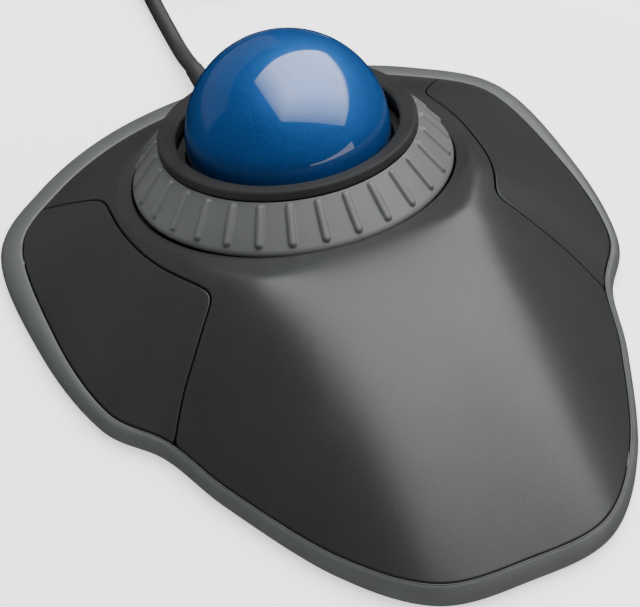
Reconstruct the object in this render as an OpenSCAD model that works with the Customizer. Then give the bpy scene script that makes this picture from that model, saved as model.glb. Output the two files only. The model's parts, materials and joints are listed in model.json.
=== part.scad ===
// Trackball mouse with a ridged scroll ring around the ball.
// +X is the user's right, +Y points away from the user towards the cord, +Z is up.
// The origin is on the desk, under the middle of the footprint.

/* [Body] */
// Height of the cover's rim above the desk, halfway along the body
edge_z = 4.7; // [4.6:0.05:4.9]
// Height of the base plate's underside
base_z = 0.8; // [0.7:0.05:0.9]
// Thickness of the base plate
base_t = 1.2; // [1.1:0.05:1.3]
// Thickness of the top cover
cover_t = 1.8; // [1.6:0.1:2]
// Thickness of the two buttons
button_t = 1.5; // [1.3:0.1:1.6]
// Gap between a button and the cover
seam = 0.45; // [0.4:0.05:0.5]

/* [Ball] */
// Diameter of the ball
ball_d = 40; // [39.8:0.1:40.2]
// Distance of the ball behind the body's middle
ball_y = 29.8; // [29.6:0.1:30]
// Height of the ball's centre
ball_z = 25.5; // [25.4:0.1:25.8]
// Clearance between the ball and its cup
cup_gap = 0.7; // [0.6:0.05:0.8]

/* [Scroll ring] */
// Tilt of the ring's axis towards the cord, in degrees
ring_tilt = 14.3; // [14:0.1:14.6]
// Outer radius of the ring's conical face
ring_r = 31.5; // [31.4:0.05:31.6]
// Number of raised finger ridges
ridges = 30; // [24:1:36]
// Outer radius of the sleeve that the ring turns on
sleeve_r = 25.95; // [25.9:0.05:26]
// Radial running clearance of the ring
ring_clear = 0.05; // [0.04:0.01:0.08]

/* [Buttons] */
// Distance of the hinge pins in front of the body's middle
hinge_y = -8; // [-8.5:0.5:-7.5]
// Height of the hinge pins
hinge_z = 5; // [4.9:0.1:5.1]
// Radius of the hinge pins
pin_r = 1; // [0.9:0.05:1]
// Sideways distance of the switches from the middle
switch_x = 40; // [39.5:0.5:40.5]
// Distance of the switches behind the body's middle
switch_y = 6; // [5.5:0.5:6.5]

/* [Cord] */
// Diameter of the cord
cord_d = 3.4; // [3.2:0.1:3.5]
// Length of the strain relief outside the body
relief_l = 6; // [5:0.5:7]

/* [Hidden] */
// Outline of the right half, rear middle to front middle
rim_half = [[0, 71.25], [22.5, 68], [42, 58.5], [56, 44.5], [58.5, 17.5], [55.5, -5],
            [47.5, -17], [42, -32.5], [31, -55], [17.5, -69], [0, -71.25]];
// Inner seam of the right button: corner points, and how far from each the bend begins.
// The ends run past the rim.
button_seam = [[60, 60, 0], [46, 53.5, 5], [35, 40.4, 3], [36.5, 27.7, 6], [35.4, 16, 4.4], [33.4, 8, 3.4],
               [29.3, -0.9, 2.6], [35.9, -7.2, 3.4], [41.4, -12.2, 3.4], [45.7, -17.9, 3.4],
               [60, -29.3, 0]];
seam_steps = 6;
rim_steps = 6;
base_top = base_z + base_t;
ball_r = ball_d / 2;

// Heights along the ring's axis, measured from the ball's centre
h_seat = -7.8;
h_flange = -9.6;
h_comb = -13;
hole_r = ring_r + 0.35;
ring_mid_y = ball_y + h_seat * sin(ring_tilt);
ring_mid_z = ball_z + h_seat * cos(ring_tilt);

// Direction from the ball's centre to the sensor
look_tilt = 60;

board_z = 4;
board_t = 1.6;
board_top = board_z + board_t;
pivot_x = 40;
pivot_w = 5;
case_screws = [[22, -50], [-22, -50], [33, 49], [-33, 49]];
board_screws = [[18, -38], [-18, -38], [0, -12]];
leg_spots = [[25.3, 0], [-25.3, 0], [0, 23]];

exit_y = 70.9;
exit_z = 3.6;
cord_r = cord_d / 2;
lead_route = [[0, 76, 3.6], [0.1, 79, 3.2], [0.3, 82.5, 2.3], [0.6, 87, 1.75], [0.9, 92, 1.75],
              [1.3, 98, 1.75], [1.8, 104, 1.8], [2.3, 110, 2], [2.6, 115.5, 2.2], [2.7, 121, 2.3]];
coil_at = [31.5, 129];
coil_in = 8.2;
coil_out = 30.5;
coil_low = 0.6;
coil_high = 7.45;
tail_route = [[3, 132, 5.6], [4.6, 139, 6.4], [8.6, 145.5, 7.8], [14.5, 150, 9], [22, 151.6, 9.4],
              [30, 150.4, 9.6], [36.6, 147, 10], [41, 142.2, 10.6], [43.4, 138, 11.4], [44.6, 134.4, 11.55]];
plug_at = [44.2, 136, 11.55];
plug_turn = -164;
plug_w = 15.4;
plug_h = 7.8;

// ---------- plan curves ----------

function curve(a, b, c, d, t) =
    0.5 * (2 * b + (c - a) * t + (2 * a - 5 * b + 4 * c - d) * t * t + (3 * b - a - 3 * c + d) * t * t * t);

function mirrored(half) =
    concat(half, [for (i = [len(half) - 2:-1:1]) [-half[i][0], half[i][1]]]);

function closed_curve(p, steps) =
    let (n = len(p))
    [for (i = [0:n - 1]) for (k = [0:steps - 1])
        curve(p[(i + n - 1) % n], p[i], p[(i + 1) % n], p[(i + 2) % n], k / steps)];

function ramp(a, b, x) =
    let (t = max(0, min(1, (x - a) / (b - a))))
    t * t * (3 - 2 * t);

rim = closed_curve(mirrored(rim_half), rim_steps);
rim_n = len(rim);

// Width of the side band, wider towards the rear
function band_w(y) = 1.7 + 2.8 * ramp(-25, 50, y);

// Height of the cover's rim, a little higher in front
function rim_z(y) = edge_z - 0.8 * pow(y / 62, 3);

function unit(v) = v / norm(v);

// Unit normal of the rim, pointing inwards
function inward(i) =
    let (t = unit(rim[(i + 1) % rim_n] - rim[(i + rim_n - 1) % rim_n]))
    [t[1], -t[0]];

// The rim moved inwards, by the band's width and an extra distance
function inset_rim(extra) =
    [for (i = [0:rim_n - 1]) rim[i] + inward(i) * (band_w(rim[i][1]) + extra)];

cover_rim = inset_rim(0);

// ---------- top surface ----------

ring_mid = [0, ring_mid_y];

// Distance from the ring's middle to the cover's rim, by direction
rim_polar = [for (p = cover_rim) let (v = p - ring_mid) [atan2(v[1], v[0]), norm(v)]];
// The rim runs clockwise from the rear, so its second part comes first in rising order
rim_rise = [for (i = [rim_n - 1:-1:0]) rim_polar[i]];
rim_left = [for (p = rim_rise) if (p[0] <= -90 || p[0] > 90) [p[0] > 90 ? p[0] - 360 : p[0], p[1]]];
rim_right = [for (p = rim_rise) if (p[0] > -90 && p[0] <= 90) p];
rim_table = concat(rim_left, rim_right, [[rim_left[0][0] + 360, rim_left[0][1]]]);

function rim_far(a) = lookup(a > 90 ? a - 360 : a, rim_table);

// Height of the tilted plane that the ring's lower edge lies in
function seat_z(y) = ring_mid_z + (ring_mid_y - y) * tan(ring_tilt);

// Share of the fall from the seat plane to the rim: flat around the ring, then down
function fall(s, front) =
    let (s0 = 0.163 * ramp(0.12, 0.76, front) * (1 - ramp(0.82, 1.03, front)),
         power = 1.226 + 0.348 * ramp(0.82, 0.975, front),
         soft = 0.03,
         q = (s - s0) / (1 - s0),
         u = (q + sqrt(q * q + soft * soft)) / (1 + sqrt(1 + soft * soft)))
    pow(u, power);

// Height of the top surface along a direction, at s from the ring (0) to the rim (1)
function top_polar(dir, far, s) =
    let (r = ring_r + (far - ring_r) * s,
         y_edge = ring_mid_y + dir[1] * ring_r,
         y_rim = ring_mid_y + dir[1] * far,
         kept_tilt = 1 - 0.133 * ramp(0.786, 1.074, -dir[1]),
         top = seat_z(y_edge + dir[1] * (r - ring_r) * kept_tilt),
         top_at_rim = seat_z(y_edge + dir[1] * (far - ring_r) * kept_tilt))
    top - (top_at_rim - rim_z(y_rim)) * fall(s, -dir[1]);

// Height of the top surface at a point of the plan
function top_z(x, y) =
    let (v = [x, y] - ring_mid,
         far = rim_far(atan2(v[1], v[0])))
    top_polar(unit(v), far, (norm(v) - ring_r) / (far - ring_r));

// ---------- meshes ----------

// Closed surface through equal rings of points, the last ring joined to the first
module ring_surface(rings) {
    n = len(rings[0]);
    m = len(rings);
    faces = [for (j = [0:m - 1]) for (i = [0:n - 1])
        let (a = j * n + i, b = j * n + (i + 1) % n, j2 = (j + 1) % m,
             c = j2 * n + (i + 1) % n, d = j2 * n + i)
        each [[a, b, c], [a, c, d]]];
    polyhedron([for (r = rings) each r], faces);
}

// Shell under the top surface, with a flat lower limit
module skin(thick, low, side_gap, steps = 8) {
    start = -0.12;
    outer = inset_rim(side_gap);
    function point(i, j) =
        let (v = outer[i] - ring_mid, far = norm(v), dir = v / far,
             true_far = norm(cover_rim[i] - ring_mid),
             s = start + (1 - start) * j / steps,
             r = ring_r + (far - ring_r) * s)
        [dir[0] * r, ring_mid_y + dir[1] * r, top_polar(dir, true_far, s)];
    top = [for (j = [steps:-1:0]) [for (i = [0:rim_n - 1]) point(i, j)]];
    under = [for (j = [0:steps])
        [for (i = [0:rim_n - 1]) let (p = point(i, j)) [p[0], p[1], max(p[2] - thick, low)]]];
    ring_surface(concat(top, under));
}

// Upright wall that follows the rim, between two insets and from a height up to the surface
module rim_wall(near, far, low, sink) {
    a = inset_rim(near);
    b = inset_rim(far);
    ring_surface([
        [for (p = a) [p[0], p[1], rim_z(p[1]) - sink]],
        [for (p = b) [p[0], p[1], rim_z(p[1]) - sink]],
        [for (p = b) [p[0], p[1], low]],
        [for (p = a) [p[0], p[1], low]]]);
}

// Tube along a list of points
module tube(route, r, sides = 8) {
    n = len(route);
    function heading(i) = unit(route[min(i + 1, n - 1)] - route[max(i - 1, 0)]);
    rings = [for (i = [0:n - 1])
        let (t = heading(i), side = unit(cross(t, [0, 0, 1])), up = cross(side, t))
        [for (k = [0:sides - 1])
            route[i] + r * (cos(360 * (k + 0.5) / sides) * side + sin(360 * (k + 0.5) / sides) * up)]];
    walls = [for (j = [0:n - 2]) for (k = [0:sides - 1])
        let (a = j * sides + k, b = j * sides + (k + 1) % sides)
        each [[a, b, b + sides], [a, b + sides, a + sides]]];
    start = [for (k = [sides - 1:-1:0]) k];
    end = [for (k = [0:sides - 1]) (n - 1) * sides + k];
    polyhedron([for (r = rings) each r], concat(walls, [start, end]));
}

// A smooth route through a few points, with a ring every couple of diameters
function smooth_route(p, steps = 3) =
    let (n = len(p))
    concat([for (i = [0:n - 2]) for (k = [0:steps - 1])
        curve(p[max(i - 1, 0)], p[i], p[i + 1], p[min(i + 2, n - 1)], k / steps)], [p[n - 1]]);

// ---------- frames ----------

module ring_frame() {
    translate([0, ball_y, ball_z])
        rotate([-ring_tilt, 0, 0])
            children();
}

// Z runs from the ball's centre towards the sensor
module look_frame() {
    translate([0, ball_y, ball_z])
        rotate([180 - look_tilt, 0, 0])
            children();
}

module both_sides() {
    children();
    mirror([1, 0, 0])
        children();
}

// ---------- housing ----------

module rim_plate(extra) {
    polygon(inset_rim(extra));
}

module base_shell() {
    boss_r = 4;
    head_r = 2.6;
    color("dimgray")
    difference() {
        union() {
            translate([0, 0, base_z])
                linear_extrude(base_t)
                    rim_plate(0.05);
            for (p = case_screws)
                translate([p[0], p[1], base_z])
                    cylinder(r = boss_r, h = 2.6, $fn = 48);
            for (p = board_screws)
                translate([p[0], p[1], base_z])
                    cylinder(r = 2.6, h = board_z - base_z, $fn = 32);
            both_sides()
                for (side = [-1, 1])
                    translate([pivot_x + side * (pivot_w / 2 + 1.05) - 0.75, hinge_y - 1.8, base_z]) {
                        cube([1.5, 3.6, hinge_z - base_z]);
                        translate([0, 1.8, hinge_z - base_z])
                            rotate([0, 90, 0])
                                cylinder(r = 1.8, h = 1.5, $fn = 32);
                    }
            both_sides()
                translate([switch_x, switch_y, base_z])
                    cylinder(r = 2.2, h = board_z - base_z, $fn = 32);
        }
        for (p = case_screws)
            translate([p[0], p[1], base_z - 1]) {
                cylinder(r = head_r, h = 2.4, $fn = 32);
                cylinder(r = 1.4, h = 6, $fn = 32);
            }
        for (p = board_screws)
            translate([p[0], p[1], base_z + 0.6])
                cylinder(r = 0.9, h = 6, $fn = 24);
        for (p = leg_spots)
            translate([p[0], ring_mid_y + p[1], base_z - 1]) {
                cylinder(r = 2.1, h = 1.65, $fn = 32);
                cylinder(r = 1.2, h = 6, $fn = 24);
            }
        both_sides()
            translate([pivot_x - 8, hinge_y, hinge_z])
                rotate([0, 90, 0])
                    cylinder(r = pin_r, h = 16, $fn = 32);
        relief_channel();
    }
}

module side_band() {
    low = [for (i = [0:rim_n - 1]) let (p = rim[i] + inward(i) * 0.9) [p[0], p[1], base_z]];
    function lip(w_share, z_share) =
        [for (i = [0:rim_n - 1])
            let (y = rim[i][1], p = rim[i] + inward(i) * band_w(y) * w_share)
            [p[0], p[1], base_top + (rim_z(y) - base_top) * z_share]];
    inner = inset_rim(0);
    color("gray")
    difference() {
        ring_surface([
            low,
            lip(0.02, -0.1),
            lip(0, 0.1),
            lip(0.12, 0.5),
            lip(0.45, 0.84),
            lip(0.8, 0.98),
            lip(1, 1),
            [for (p = inner) [p[0], p[1], base_z]]]);
        translate([0, exit_y - 14, exit_z])
            rotate([-90, 0, 0])
                cylinder(r = 3.9, h = 20, $fn = 32);
    }
}

// Bend that replaces the corner b between a and c
function bend(a, b, c, reach) =
    let (from = b + unit(a - b) * reach, to = b + unit(c - b) * reach)
    [for (k = [0:seam_steps]) let (t = k / seam_steps)
        (1 - t) * (1 - t) * from + 2 * t * (1 - t) * b + t * t * to];

seam_corners = [for (p = button_seam) [p[0], p[1]]];
seam_line = [for (i = [1:len(button_seam) - 2])
    each bend(seam_corners[i - 1], seam_corners[i], seam_corners[i + 1], button_seam[i][2])];

// Plan of a button, cut along the seam; grow is negative for the button itself
module button_plan(grow) {
    offset(delta = grow)
        polygon(concat([[60, 60]], seam_line, [[60, -30], [80, -30], [80, 60]]));
}

// Space round the strain relief: its sleeve, and its flange inside
module relief_channel() {
    translate([0, exit_y - 10.2, exit_z])
        rotate([-90, 0, 0]) {
            cylinder(r = 2.35, h = 20, $fn = 32);
            cylinder(r = 2.6, h = 2.2, $fn = 32);
        }
}

// Upright of the top cover, from the base's boss up into the shell
module cover_boss(x, y) {
    reach = 3;
    z = min([for (d = [[reach, 0], [-reach, 0], [0, reach], [0, -reach]]) top_z(x + d[0], y + d[1])]) - 0.7;
    hull() {
        translate([x, y, base_z + 2.65])
            cylinder(r = 2.4, h = 0.5, $fn = 24);
        translate([x, y, z - 0.5])
            cylinder(r = reach, h = 0.5, $fn = 24);
    }
}

// Stiffening rib under the palm rest
module palm_rib(y) {
    reach = 17;
    hull() {
        for (x = [-reach, reach])
            translate([x - 0.6, y - 0.6, top_z(x, y) - 4.5])
                cube([1.2, 1.2, 3.6]);
        translate([-0.6, y - 0.6, top_z(0, y) - 4.5])
            cube([1.2, 1.2, 3.6]);
    }
}

module top_cover() {
    color([0.27, 0.27, 0.26])
    difference() {
        union() {
            difference() {
                union() {
                    skin(cover_t, base_top + 0.6, 0.1);
                    rim_wall(0.1, 1.6, base_top, 0.6);
                }
                both_sides()
                    linear_extrude(60)
                        button_plan(0);
            }
            for (p = case_screws)
                cover_boss(p[0], p[1]);
            for (y = [-60, -52, -44, -36, -28])
                palm_rib(y);
            hull()
                for (y = [exit_y - 10.2, exit_y - 1])
                    translate([0, y, exit_z])
                        rotate([-90, 0, 0])
                            cylinder(r = 3.8, h = 1, $fn = 32);
        }
        translate([0, 0, -40 + base_top])
            cube([200, 200, 80], center = true);
        ring_frame() {
            translate([0, 0, -30])
                cylinder(r = hole_r, h = 60, $fn = 96);
            translate([0, 0, h_seat - 1.1])
                scale([1.06, 0.98, 1])
                    cylinder(r1 = hole_r - 1, r2 = hole_r + 3, h = 1.9, $fn = 96);
            translate([0, 0, h_seat + 0.3])
                cylinder(r = hole_r + 8, h = 20, $fn = 96);
        }
        for (p = case_screws)
            translate([p[0], p[1], 0])
                cylinder(r = 1.15, h = 7, $fn = 16);
        relief_channel();
    }
}

module button_shell() {
    low = base_top + 1.1;
    intersection() {
        skin(button_t, low, 0.2);
        linear_extrude(60)
            button_plan(-seam);
    }
    for (y = [-4, 4, 12, 20])
        intersection() {
            hull() {
                translate([37, y, top_z(37, y) - button_t - 1.5])
                    cube([0.8, 1, 2]);
                translate([44, y, top_z(44, y) - button_t - 1.5])
                    cube([0.8, 1, 2]);
            }
            hull()
                for (x = [37, 44.8], dy = [0, 1])
                    translate([x - 0.1, y + dy - 0.1, 4])
                        cube([0.2, 0.2, top_z(x, y) - 4 - button_t / 2]);
        }
}

module left_button() {
    color([0.22, 0.24, 0.23])
    union()
        mirror([1, 0, 0])
            button_shell();
}

module right_button() {
    color([0.22, 0.24, 0.23])
    union()
        button_shell();
}

// Lever under a button: hinge lug, beam, nib over the switch and two uprights
module button_arm() {
    beam_z = 9.6;
    nib_z = board_top + 3.1;
    half = pivot_w / 2;
    difference() {
        union() {
            translate([pivot_x - half, hinge_y, hinge_z])
                rotate([0, 90, 0])
                    cylinder(r = 1.9, h = pivot_w, $fn = 32);
            translate([pivot_x - 1.6, 0, 0])
                rotate([90, 0, 90])
                    linear_extrude(3.2)
                        polygon([[hinge_y - 1.2, hinge_z + 1.2], [hinge_y + 4, beam_z + 1.4],
                                 [16, beam_z + 1.4], [16, beam_z], [switch_y + 1.6, beam_z],
                                 [switch_y + 1, nib_z], [switch_y - 1, nib_z], [switch_y - 1.6, beam_z],
                                 [hinge_y + 6, beam_z], [hinge_y + 1.6, hinge_z - 0.6]]);
            for (y = [0, 14])
                translate([pivot_x, y, beam_z])
                    cylinder(r = 1.4, h = top_z(pivot_x, y) - button_t - beam_z + 0.1, $fn = 32);
        }
        translate([pivot_x - 10, hinge_y, hinge_z])
            rotate([0, 90, 0])
                cylinder(r = pin_r + 0.05, h = 20, $fn = 32);
    }
}

module left_button_arm() {
    color("lightgray")
        mirror([1, 0, 0])
            button_arm();
}

module right_button_arm() {
    color("lightgray")
        button_arm();
}

module hinge_pin() {
    translate([pivot_x - pivot_w / 2 - 1.8, hinge_y, hinge_z])
        rotate([0, 90, 0])
            cylinder(r = pin_r, h = pivot_w + 3.6, $fn = 32);
}

module left_hinge_pin() {
    color("silver")
        mirror([1, 0, 0])
            hinge_pin();
}

module right_hinge_pin() {
    color("silver")
        hinge_pin();
}

// ---------- ball and ring ----------

module scroll_ring() {
    lip_r = 25.1;
    cone_top = [25.4, -0.35];
    cone_low = [ring_r - 0.25, h_seat + 0.3];
    along = unit(cone_low - cone_top);
    out = [-along[1], along[0]];
    ridge_r = 0.75;
    function on_cone(d) = cone_top + along * d - out * 0.2;
    color([0.47, 0.47, 0.47])
    union() {
        ring_frame()
            rotate_extrude($fn = 120)
                polygon([[lip_r, -2.4], [lip_r, -0.6], cone_top, cone_low, [ring_r, h_seat - 0.2],
                         [ring_r, -8.55], [27.45, -8.55], [27.45, -4.6]]);
        ring_frame()
            for (k = [0:ridges - 1])
                rotate([0, 0, 360 * (k + 0.5) / ridges])
                    hull()
                        for (d = [1.2, 7.9])
                            translate([on_cone(d)[0], 0, on_cone(d)[1]])
                                sphere(r = ridge_r, $fn = 10);
    }
}

module ring_encoder() {
    bore = sleeve_r + ring_clear;
    hub_low = h_flange + 0.2;
    web_h = 0.8;
    comb_in = 28.3;
    comb_out = 29.3;
    slots = 30;
    color("black")
    ring_frame()
        difference() {
            rotate_extrude($fn = 120)
                polygon([[bore, hub_low], [comb_in, hub_low], [comb_in, h_comb], [comb_out, h_comb],
                         [comb_out, hub_low + web_h], [27.4, hub_low + web_h], [27.4, -4.7],
                         [26.9, -4.1], [bore, -4.1]]);
            for (k = [0:slots - 1])
                rotate([0, 0, 360 * k / slots])
                    translate([comb_in - 1, -1.4, h_comb - 1])
                        cube([3, 2.8, 3.6]);
        }
}

module ball() {
    color([0.05, 0.2, 0.5])
        translate([0, ball_y, ball_z])
            sphere(r = ball_r, $fn = 96);
}

module ball_collar() {
    lip = [for (a = [180:-15:0]) [23.35 + 1.6 * cos(a), 0.35 + 1.6 * sin(a)]];
    color("black")
        ring_frame()
            rotate_extrude($fn = 120)
                polygon(concat([[21.95, -1.3]], lip,
                               [[25.35, 0.2], [25.35, -0.1], [24.75, -0.1], [24.75, -3.5],
                                [24.2, -3.5], [24.2, -5], [22.6, -5], [22.6, -2.6]]));
}

bearing_r = 1.25;
bearing_far = ball_r + bearing_r + 0.1;

// Places a child at each support bearing, with Z pointing away from the ball's centre
module bearing_spots() {
    ring_frame()
        for (a = [90, 210, 330])
            rotate([0, 0, a])
                rotate([0, 90 + 38, 0])
                    children();
}

module ball_cup() {
    cup_in = ball_r + cup_gap;
    cup_out = cup_in + 1.6;
    sleeve_in = 24.3;
    leg_r = 1.9;
    color([0.15, 0.15, 0.16])
    difference() {
        union() {
            ring_frame() {
                difference() {
                    sphere(r = cup_out, $fn = 96);
                    translate([-50, -50, -2.9])
                        cube([100, 100, 60]);
                }
                rotate_extrude($fn = 120)
                    polygon([[19.6, h_flange - 1], [27.8, h_flange - 1], [27.8, h_flange],
                             [sleeve_r, h_flange], [sleeve_r, -3.7], [sleeve_in, -3.7],
                             [sleeve_in, h_flange], [19.6, h_flange]]);
            }
            for (p = leg_spots)
                translate([p[0], ring_mid_y + p[1], base_top])
                    cylinder(r = leg_r, $fn = 32,
                             h = seat_z(ring_mid_y + p[1]) - base_top - (h_seat - h_flange + 0.5) / cos(ring_tilt));
            bearing_spots()
                translate([0, 0, ball_r + 1.2])
                    cylinder(r = 2.4, h = 2.7, $fn = 32);
        }
        translate([0, ball_y, ball_z])
            sphere(r = cup_in, $fn = 96);
        bearing_spots()
            translate([0, 0, ball_r - 1])
                cylinder(r = bearing_r + 0.05, h = 1 + 2 * bearing_r + 0.15, $fn = 32);
        look_frame() {
            cylinder(r = 3.1, h = 30, $fn = 32);
            translate([6, 0, 0])
                cylinder(r = 1.7, h = 30, $fn = 32);
        }
        for (p = leg_spots)
            translate([p[0], ring_mid_y + p[1], base_top - 1])
                cylinder(r = 0.9, h = 5, $fn = 24);
    }
}

module support_bearings() {
    color("white")
        bearing_spots()
            translate([0, 0, bearing_far])
                sphere(r = bearing_r, $fn = 32);
}

// ---------- ball sensor ----------

module sensor_lens() {
    color("aliceblue")
        look_frame() {
            translate([0, 0, ball_r + 1.3])
                cylinder(r = 2.6, h = 2, $fn = 32);
            translate([-4.2, -4, ball_r + 3.1])
                cube([8.4, 8, 1.5]);
        }
}

module ball_sensor() {
    color([0.1, 0.1, 0.1])
        look_frame()
            difference() {
                translate([-4.2, -4, ball_r + 4.7])
                    cube([8.4, 8, 1.6]);
                translate([0, 0, ball_r + 4])
                    cylinder(r = 1, h = 1.4, $fn = 32);
            }
}

module sensor_lamp() {
    color("orangered")
        look_frame()
            translate([6, 0, ball_r + 1.6]) {
                cylinder(r = 1.5, h = 4.7, $fn = 32);
                sphere(r = 1.5, $fn = 32);
            }
}

module sensor_board() {
    color("darkgreen")
        look_frame()
            translate([-8.5, -6.2, ball_r + 6.3])
                cube([17, 12.4, 1]);
}

module sensor_header() {
    color("gold")
        for (k = [-3:3])
            translate([k * 1.8 - 0.25, 0, 0])
                rotate([90, 0, 90])
                    linear_extrude(0.5)
                        polygon([[12.6, board_z - 0.6], [13.1, board_z - 0.6], [13.1, 9.3], [10.2, 9.3],
                                 [10.2, 8.8], [12.6, 8.8]]);
}

// ---------- electronics ----------

module main_board() {
    color("darkgreen")
    difference() {
        translate([0, 0, board_z])
            linear_extrude(board_t)
                union() {
                    translate([-24, -46])
                        square([48, 48]);
                    translate([-45, -1])
                        square([90, 15]);
                }
        for (p = board_screws)
            translate([p[0], p[1], 0])
                cylinder(r = 1.2, h = 20, $fn = 32);
        for (k = [-3:3])
            translate([k * 1.8, 12.85, 0])
                cylinder(r = 0.45, h = 20, $fn = 16);
    }
}

module controller_chip() {
    color([0.08, 0.08, 0.08])
        translate([-14, -30, board_top + 0.1])
            cube([9, 7, 1.5]);
    color("silver")
        for (side = [0, 1], k = [0:6])
            translate([-13.4 + k * 1.2, side ? -23 : -31, board_top])
                cube([0.4, 1, 0.3]);
}

module crystal() {
    color("silver")
        translate([4, -28, board_top])
            linear_extrude(3)
                hull() {
                    circle(r = 1.8, $fn = 32);
                    translate([6, 0])
                        circle(r = 1.8, $fn = 32);
                }
}

module capacitor() {
    color("navy")
        translate([12, -20, board_top])
            cylinder(r = 2.5, h = 5.5, $fn = 32);
}

module cable_connector() {
    color("ivory")
        translate([-20, 4, board_top])
            difference() {
                cube([10, 5, 4.5]);
                translate([0.8, 0.8, 1])
                    cube([8.4, 5, 5]);
            }
}

module encoder_board() {
    color("darkgreen")
        translate([-7, -7, board_top])
            cube([14, 1.2, 14]);
}

module photo_interrupter() {
    color([0.12, 0.12, 0.12])
    difference() {
        ring_frame()
            difference() {
                translate([-3, -34, -16.8])
                    cube([6, 8, 5.9]);
                translate([-4, -29.8, -14.4])
                    cube([8, 2, 10]);
            }
        translate([-10, -25.8, 0])
            cube([20, 20, 60]);
    }
}

module switch_body() {
    difference() {
        translate([switch_x - 3, switch_y - 3, board_top])
            cube([6, 6, 2.4]);
        translate([switch_x, switch_y, board_top + 1])
            cylinder(r = 1.65, h = 5, $fn = 32);
    }
}

module left_switch() {
    color([0.1, 0.1, 0.1])
        mirror([1, 0, 0])
            switch_body();
}

module right_switch() {
    color([0.1, 0.1, 0.1])
        switch_body();
}

module plunger() {
    translate([switch_x, switch_y, board_top + 1.35])
        cylinder(r = 1.6, h = 1.7, $fn = 32);
}

module left_plunger() {
    color("red")
        mirror([1, 0, 0])
            plunger();
}

module right_plunger() {
    color("red")
        plunger();
}

// ---------- fasteners, feet and label ----------

module screw(head_r, head_h, shank_r, shank_h) {
    difference() {
        union() {
            cylinder(r = head_r, h = head_h, $fn = 32);
            cylinder(r = shank_r, h = head_h + shank_h, $fn = 24);
        }
        for (a = [0, 90])
            rotate([0, 0, a])
                translate([-head_r * 0.6, -0.25, -0.1])
                    cube([head_r * 1.2, 0.5, 0.1 + head_h / 2]);
    }
}

module case_screws() {
    color("silver")
        for (p = case_screws)
            translate([p[0], p[1], base_z + 0.15])
                screw(2.4, 1.2, 1, 4);
}

module cup_screws() {
    color("silver")
        for (p = leg_spots)
            translate([p[0], ring_mid_y + p[1], base_z + 0.05])
                screw(1.9, 0.55, 0.85, 3.4);
}

module board_screws() {
    color("silver")
        for (p = board_screws)
            translate([p[0], p[1], board_top + 1])
                mirror([0, 0, 1])
                    screw(2.1, 1, 0.85, 3.2);
}

module rubber_feet() {
    pads = [[44, 33], [-44, 33], [46, 0], [-46, 0], [16, -60], [-16, -60], [13, 60], [-13, 60]];
    color([0.1, 0.1, 0.1])
        for (p = pads)
            translate([p[0], p[1], 0])
                cylinder(r = 5, h = base_z, $fn = 48);
}

module underside_label() {
    color("silver")
        translate([-20, -24, base_z - 0.1])
            cube([40, 26, 0.1]);
}

// ---------- cord ----------

module inner_wires() {
    color("gray")
        tube(smooth_route([[0, 61.2, exit_z], [-0.6, 58.4, 3.5], [-4, 55.5, 3.3], [-9, 51.5, 3.2],
                           [-13, 46, 3.2], [-16, 38, 3.2],
                           [-17, 28, 3.4], [-17, 20, 4.6], [-16, 14, 8.6], [-15, 10, 9], [-15, 6, 8.4]]),
             1.1);
}

module strain_relief() {
    root_y = exit_y - 7;
    tip_y = exit_y + relief_l;
    color([0.13, 0.13, 0.14])
        translate([0, 0, exit_z])
            rotate([-90, 0, 0])
                translate([0, 0, root_y])
                    rotate_extrude($fn = 32)
                        polygon([[0, -3], [2.45, -3], [2.45, -1.2], [2.2, -1.2], [2.2, 7],
                                 [cord_r + 0.2, tip_y - root_y], [0, tip_y - root_y]]);
}

module cord_lead() {
    color([0.2, 0.2, 0.2])
        tube(smooth_route(lead_route), cord_r);
}

module cord_coil() {
    edge = 1.5;
    color([0.2, 0.2, 0.2])
        translate([coil_at[0], coil_at[1], 0])
            rotate_extrude($fn = 96)
                polygon([[coil_in, coil_low + edge], [coil_in + edge, coil_low],
                         [coil_out - edge, coil_low], [coil_out, coil_low + edge],
                         [coil_out, coil_high - edge], [coil_out - edge, coil_high],
                         [coil_in + edge, coil_high], [coil_in, coil_high - edge]]);
}

module cord_tail() {
    color([0.2, 0.2, 0.2])
        tube(smooth_route(tail_route), cord_r);
}

module cable_tie() {
    wrap = 0.55;
    tie_w = 7;
    color("black")
        translate([coil_at[0], coil_at[1], 0])
            rotate([0, 0, -120])
                difference() {
                    translate([coil_in - 1, -tie_w / 2, 0])
                        cube([coil_out - coil_in + 2, tie_w, coil_high + 0.05 + wrap]);
                    translate([coil_in - 1 + wrap, -tie_w, wrap])
                        cube([coil_out - coil_in + 2 - 2 * wrap, 2 * tie_w, coil_high + 0.05 - wrap]);
                }
}

module plug_frame() {
    translate(plug_at)
        rotate([0, 0, plug_turn])
            children();
}

module plug_body() {
    relief = 8;
    body_l = 18;
    corner = 1.6;
    color([0.13, 0.13, 0.14])
        plug_frame() {
            rotate([-90, 0, 0])
                cylinder(r1 = cord_r + 0.4, r2 = 3, h = relief, $fn = 32);
            translate([0, relief + body_l, 0])
                rotate([90, 0, 0])
                    linear_extrude(body_l)
                        offset(r = corner, $fn = 32)
                            square([plug_w - 2 * corner, plug_h - 2 * corner], center = true);
        }
}

module plug_shell() {
    wall = 0.35;
    color("silver")
        plug_frame()
            difference() {
                translate([-6, 26, -2.25])
                    cube([12, 12, 4.5]);
                translate([-6 + wall, 26.6, -2.25 + wall])
                    cube([12 - 2 * wall, 20, 4.5 - 2 * wall]);
                for (x = [-3.1, 3.1])
                    translate([x - 1.1, 31, -5])
                        cube([2.2, 2.4, 10]);
            }
}

module plug_tongue() {
    color("white")
        plug_frame()
            translate([-5.6, 26.6, 0])
                cube([11.2, 10.6, 1.85]);
}

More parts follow.
